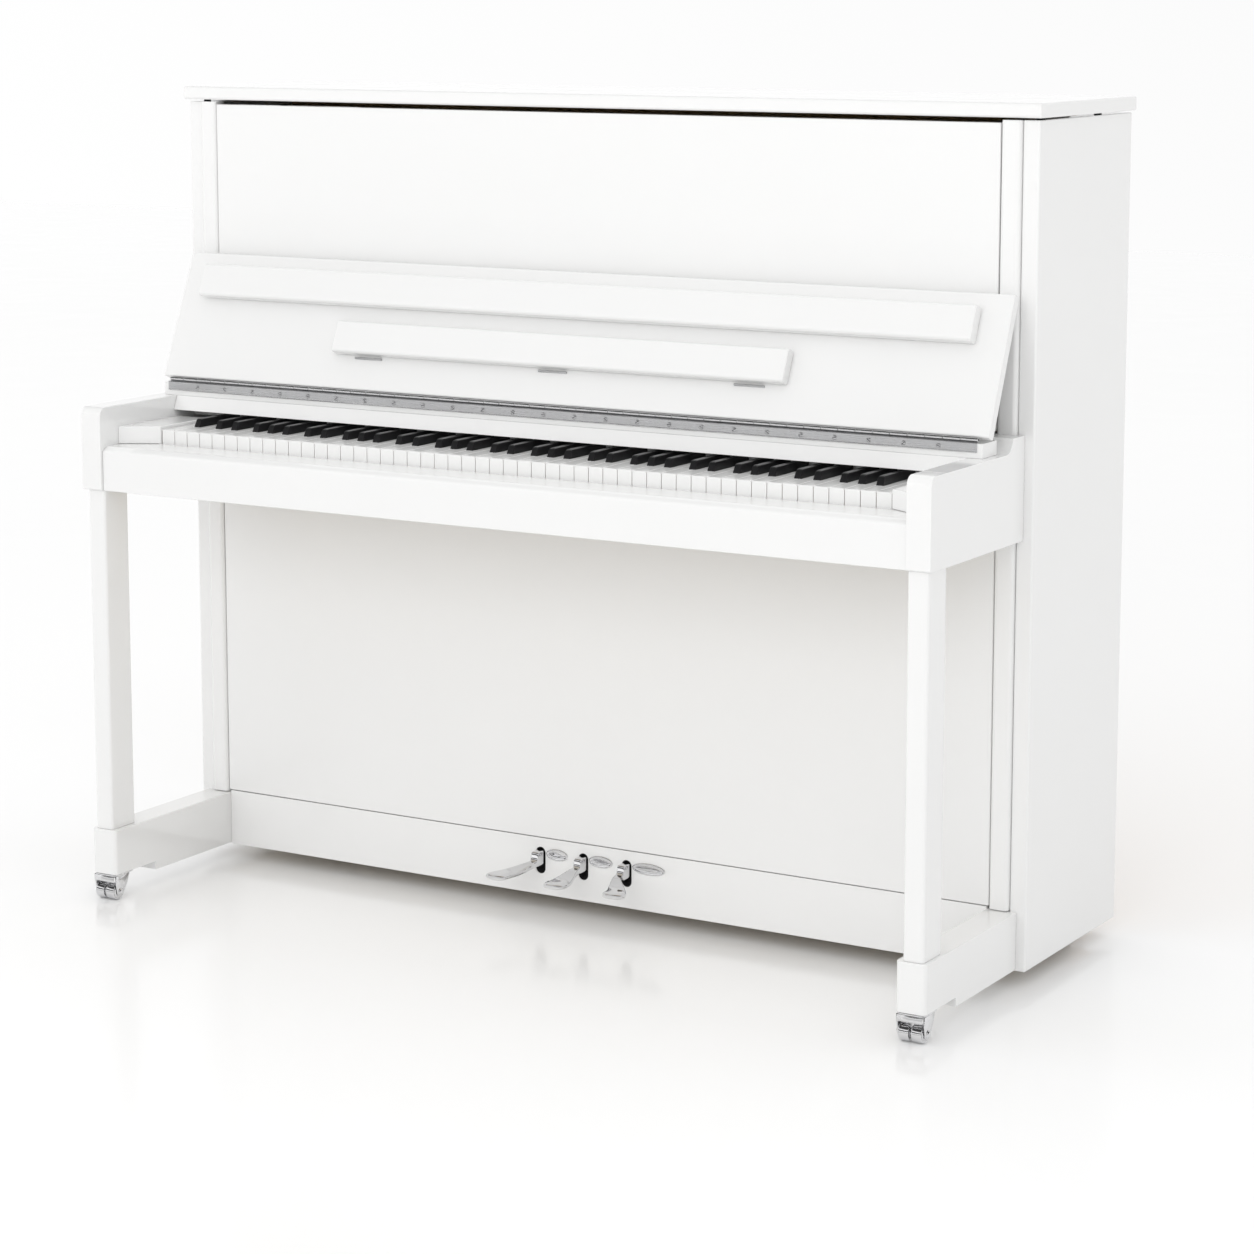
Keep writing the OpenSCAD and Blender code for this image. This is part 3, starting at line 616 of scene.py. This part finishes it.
def casters():
    """Forks with swept-back cheeks, a curved front lip, domed axle nuts and turned double rollers."""
    forks, nuts = Form(), Form()
    places = (
        ("front_left", -0.679, -0.296, 0.041), ("front_right", 0.679, -0.296, 0.041),
        ("rear_left", -0.640, 0.262, 0.030), ("rear_right", 0.640, 0.262, 0.030),
    )
    for name, x, y, top in places:
        for side in (-1, 1):
            cheek = [(y - 0.0105, top - 0.0028), (y + 0.0215, top - 0.0028), (y + 0.0165, 0.024),
                     (y + 0.0085, 0.0125)]
            for k in range(9):
                a = math.radians(-5 - 22 * k)
                cheek.append((y + 0.0072 * math.cos(a), WHEEL_RADIUS + 0.0072 * math.sin(a)))
            cheek.append((y - 0.0092, 0.024))
            x0 = x + side * 0.020
            forks.slab(cheek, x0 - 0.001, x0 + 0.001, 0.0004)
            turn = [(0.0, 0.0056), (0.0004, 0.0060), (0.0009, 0.0058), (0.0010, 0.0042), (0.0022, 0.0040),
                    (0.0030, 0.0030), (0.0034, 0.0014)]
            nuts.lathe([(side * (a + 0.0008), r) for a, r in turn], (x0, y, WHEEL_RADIUS), "X", 24)
        plate = [[(px, pz, top - t) for px, pz in oval(x, y + 0.011, 0.042 - s, 0.046 - s, 7)]
                 for t, s in ((0.0002, 0.0008), (0.0006, 0.0), (0.0026, 0.0), (0.0030, 0.0008))]
        forks.loft(plate)
        lip = []
        for k in range(7):
            a = math.radians(15 * k)
            reach, drop = 0.0115 + 0.0022 * math.sin(a), 0.003 + 0.0085 * (1 - math.cos(a))
            lip.append([(x + sx * (0.0195 - 0.0012 * k / 6), y - reach + off, top - drop)
                        for sx, off in ((-1, 0), (1, 0), (1, 0.0016), (-1, 0.0016))])
        forks.loft(lip)
        forks.lathe([(-0.019, 0.0023), (0.019, 0.0023)], (x, y, WHEEL_RADIUS), "X", 20)
        roller = Form()
        for side in (-1, 1):
            rim = [(0.0060, 0.01298), (0.0072, 0.0127), (0.0078, 0.0118), (0.0074, 0.0112), (0.0074, 0.0090),
                   (0.0080, 0.0085), (0.0080, 0.0027)]
            outline = [(-a, r) for a, r in reversed(rim)] + rim
            roller.lathe(outline, (x + side * 0.0095, y, WHEEL_RADIUS), "X", 48, close=True)
        roller.piece("rollers_" + name, "wheels_" + name, "caster_wheel", replaces=("wheels_" + name,))
    forks.piece("caster_frames", "case", "chrome", replaces=("caster_forks",))
    nuts.piece("caster_axle_nuts", "case", "chrome")


# ------------------------------------------------------------------ hinges and small fittings


def knuckle_row(form, x0, x1, pitch, gap, radius, at, keep):
    """Barrel segments along X; keep is 0 for the even ones, 1 for the odd ones and None for all."""
    count = round((x1 - x0) / pitch)
    step = (x1 - x0) / count
    for i in range(count):
        if keep is None or i % 2 == keep:
            a, b = x0 + i * step + gap / 2, x0 + (i + 1) * step - gap / 2
            barrel = [(a, radius * 0.86), (a + 0.0003, radius * 0.97), (a + 0.0008, radius),
                      (b - 0.0008, radius), (b - 0.0003, radius * 0.97), (b, radius * 0.86)]
            form.lathe(barrel, (0, *at), "X", 20)


def fallboard_hinge():
    """Piano hinge: brushed leaf on the rail, alternating bright knuckles, countersunk slotted screws."""
    low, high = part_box("fallboard_hinge")
    half, front_y, base = high[0], -0.1274, low[2]
    leaf = Form()
    leaf.slab([(front_y, base), (front_y, 0.7776), (-0.1262, 0.7784), (-0.1212, 0.7784), (-0.1212, 0.7772),
               (-0.1258, 0.7772), (-0.1259, base)], -half, half)
    leaf.piece("hinge_leaf", "case", "steel", replaces=("fallboard_hinge",), bevel=0.0003)
    # a thin strip of brighter nickel along the leaf's lower front edge: a painted highlight on that edge
    leaf_edge_highlight = Form()
    leaf_edge_highlight.slab([(front_y - 0.0003, base), (front_y - 0.0003, base + 0.0012), (front_y + 0.0004, base + 0.0014),
               (front_y + 0.0004, base - 0.0002)], -half, half)
    leaf_edge_highlight.piece("hinge_leaf_edge", "case", "steel", material="bright_steel")
    for keep, body in ((0, "case"), (1, "fallboard")):
        row = Form()
        knuckle_row(row, -half, half, 0.026, 0.0008, 0.0031, HINGE_AXIS, keep)
        row.piece("hinge_knuckles_" + body, body, "steel", material="bright_steel")
    pin = Form()
    pin.lathe([(-half, 0.0016), (half, 0.0016)], (0, *HINGE_AXIS), "X", 16)
    # the pin shows only through the narrow gaps between the knuckles; its near-black steel is painted shade
    # in those gaps
    pin.piece("hinge_pin", "case", "steel", material="dark_gap")
    heads, slots = Form(), Form()
    z = (base + 0.777) / 2
    for i in range(-12, 13):
        x = i * 0.052
        dome = [(0.0002, 0.0034), (-0.0002, 0.0034), (-0.0005, 0.0031), (-0.0008, 0.0022), (-0.0009, 0.0008)]
        heads.lathe(dome, (x, front_y, z), "Y", 24)
        turn = 0.7 * math.sin(i * 2.4)
        dx, dz = math.cos(turn), math.sin(turn)
        slots.loft([[(x + a * dx - b * dz, front_y - h, z + a * dz + b * dx)
                     for a, b in ((-0.003, -0.0004), (0.003, -0.0004), (0.003, 0.0004), (-0.003, 0.0004))]
                    for h in (0.0002, 0.00098)])
    heads.piece("hinge_screws", "case", "steel")
    # the slots are near-black strips set into the heads: painted shade in the slot recesses
    slots.piece("hinge_screw_slots", "case", "steel", material="dark_gap", smooth=False)


def on_board(v, u):
    """A point given through and along the open fallboard, as (y, z)."""
    c, s = math.cos(BOARD_LEAN), math.sin(BOARD_LEAN)
    return (HINGE_AXIS[0] + v * c + u * s, HINGE_AXIS[1] - v * s + u * c)


def ledge_hinges():
    """Three small hinges under the music ledge, with their knuckles and leaves."""
    form = Form()
    at = on_board(*LEDGE_AXIS)
    for x in (-0.322, 0.0, 0.322):
        knuckle_row(form, x - 0.024, x + 0.024, 0.0096, 0.0004, 0.0013, at, None)
        corners = ((-0.0021, 0.0506), (-0.0010, 0.0506), (-0.0010, 0.0536), (-0.0021, 0.0536))
        leaf = [on_board(v, u) for v, u in corners]
        form.slab(leaf, x - 0.024, x + 0.024, 0.0002)
    form.piece("ledge_hinge_leaves", "fallboard", "chrome", material="steel", replaces=("ledge_hinges",))


def lid_buttons():
    """Rubber buttons that the lid lies on."""
    form = Form()
    turn = [(0.0, 0.0052), (0.0008, 0.0056), (0.0019, 0.0054), (0.0026, 0.0045), (0.0029, 0.0025),
            (0.00295, 0.0008)]
    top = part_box("side_panel_left")[1][2]
    for x in (-0.7025, 0.7025):
        for y in (0.012, 0.21):
            form.lathe(turn, (x, y, top - 0.00005), "Z", 24)
    form.piece("rubber_buttons", "case", "lacquer", material="rubber")


# ------------------------------------------------------------------ inside and back


def pin_x(i):
    return FIRST_PIN + i * PIN_PITCH


def pin_z(i):
    return 1.096 + 0.024 * (i % 3)


def hammers():
    """One hammer for each note: butt, shank, wooden core and a teardrop of felt that faces the string."""
    wood_parts, felts = Form(), Form()
    for i in range(NOTES):
        x = pin_x(i)
        size = 1.0 - 0.25 * i / (NOTES - 1)
        wood_parts.slab([(0.088, 0.8935), (0.104, 0.8935), (0.1035, 0.908), (0.092, 0.9165), (0.088, 0.912)],
                        x - 0.0038, x + 0.0038, 0.0006)
        wood_parts.lathe([(0.912, 0.0026), (0.98, 0.0023), (1.036, 0.0026)], (x, 0.0835, 0), "Z", 10)
        wood_parts.slab([(0.0665, 1.0335), (0.094, 1.0325), (0.094, 1.0452), (0.0665, 1.0444)],
                        x - 0.0034, x + 0.0034, 0.0006)
        rings = []
        for k, w in ((-1.0, 0.55), (-0.8, 0.9), (-0.35, 1.0), (0.35, 1.0), (0.8, 0.9), (1.0, 0.55)):
            ring = []
            for j in range(20):
                a = math.tau * j / 20
                point = 1.0 + 0.12 * max(0.0, math.cos(a)) ** 3
                r = 0.0122 * size * w ** 0.35
                y, z = 0.0945 + r * math.cos(a) * point, 1.039 + r * 0.92 * math.sin(a)
                ring.append((x + 0.0039 * k, y, z))
            rings.append(ring)
        felts.loft(rings)
    wood_parts.piece("hammer_woods", "case", "felt", material="dark_wood")
    felts.piece("hammer_felts", "case", "felt", replaces=("hammers",))


def string_coils():
    """Three turns of wire round each tuning pin, where its string winds on."""
    form = Form()
    for i in range(NOTES):
        profile = [(-0.0012, 0.0034)]
        for turn in range(3):
            base = -0.0016 - 0.0022 * turn
            profile += [(base, 0.0044), (base - 0.0011, 0.0049), (base - 0.0020, 0.0044),
                        (base - 0.0022, 0.0038)]
        form.lathe(profile, (pin_x(i), 0.1815, pin_z(i)), "Y", 12)
    form.piece("string_coils", "case", "steel", material="bright_steel")


def soundboard_ribs():
    """Spruce ribs across the back of the soundboard, seen between the posts."""
    form = Form()
    low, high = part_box("soundboard")
    back = high[1]
    half, post = 0.6897, 0.060
    step = (2 * half - post) / BACK_BAYS
    rise = 0.055
    for bay in range(BACK_BAYS):
        x0, x1 = -half + bay * step + post + 0.001, -half + (bay + 1) * step - 0.001
        x0, x1 = max(x0, low[0] + 0.004), min(x1, high[0] - 0.004)
        for k in range(7):
            z0 = 0.20 + k * 0.115
            rings = []
            for t in (0, 0.04, 0.12, 0.88, 0.96, 1):
                x, z = x0 + t * (x1 - x0), z0 + t * rise
                tall = 0.0012 + 0.0125 * ease(min(t, 1 - t) / 0.12)
                section = ((-0.0003, -0.011), (tall * 0.8, -0.011), (tall, -0.008),
                           (tall, 0.008), (tall * 0.8, 0.011), (-0.0003, 0.011))
                rings.append([(x, back + out, z + up) for out, up in section])
            form.loft(rings)
    form.piece("soundboard_ribs", "case", "spruce", material="rib_wood", smooth=False)


def detail_pieces():
    pedal(-1, "left", -0.026)
    pedal(0, "middle", 0.0)
    pedal(1, "right", 0.026)
    slot_linings()
    pedal_plates()
    casters()
    fallboard_hinge()
    ledge_hinges()
    lid_buttons()
    hammers()
    string_coils()
    soundboard_ribs()


CASEWORK = {
    "side_panel_left": 0.0015, "side_panel_right": 0.0015, "pilasters": 0.001, "upper_panel": 0.0012,
    "lower_panel": 0.0012, "plinth": 0.0012, "arm_left": 0.0025, "arm_right": 0.0025, "legs": 0.0012,
    "toe_blocks": 0.0018, "key_slip": 0.0015, "key_blocks": 0.0015, "fallboard_rail": 0.001,
    "name_board": 0.0008, "top_lid": 0.0015, "fallboard": 0.0012, "fallboard_lip": 0.0015,
    "music_ledge": 0.0015,
}


def soften_casework():
    """Soft edges on the lacquered case, the keys and the bare wood."""
    for name, width in CASEWORK.items():
        soften(name, width)
    for name in NODES:
        if "key" in name and name not in ("key_bed", "key_frame", "key_slip", "key_blocks"):
            soften(name, 0.0005 if "sharp" in name or "black" in name else 0.0004)
    for name in ("back_frame", "bottom_board", "key_bed", "iron_frame", "key_frame"):
        soften(name, 0.002)


# ------------------------------------------------------------------ floor


def make_floor():
    """A plain pale floor with a faint polish."""
    mesh = bpy.data.meshes.new("floor")
    half = 12.0
    corners = [(-half, -half, 0), (half, -half, 0), (half, half, 0), (-half, half, 0)]
    mesh.from_pydata(corners, [], [(0, 1, 2, 3)])
    floor = bpy.data.objects.new("floor", mesh)
    bpy.context.scene.collection.objects.link(floor)
    s = Shader("floor_white", Roughness=0.12, IOR=1.45)
    s.colour(s.mix(s.noise(s.place(), 1.2, 2.0), (0.97, 0.97, 0.97), (0.98, 0.98, 0.98)))
    s.rough(s.ramp(s.noise(s.place(), 3.0, 2.0), 0.1, 0.16))
    mesh.materials.append(s.material)
    return floor


make_camera()
make_world()
area_light("key", (0.9, -4.6, 2.5), (0, 0, 0.6), (3.8, 2.0), 38)
build_materials()
paint_nodes()
soften_casework()
detail_pieces()
make_floor()
bpy.context.scene.view_settings.view_transform = "Standard"
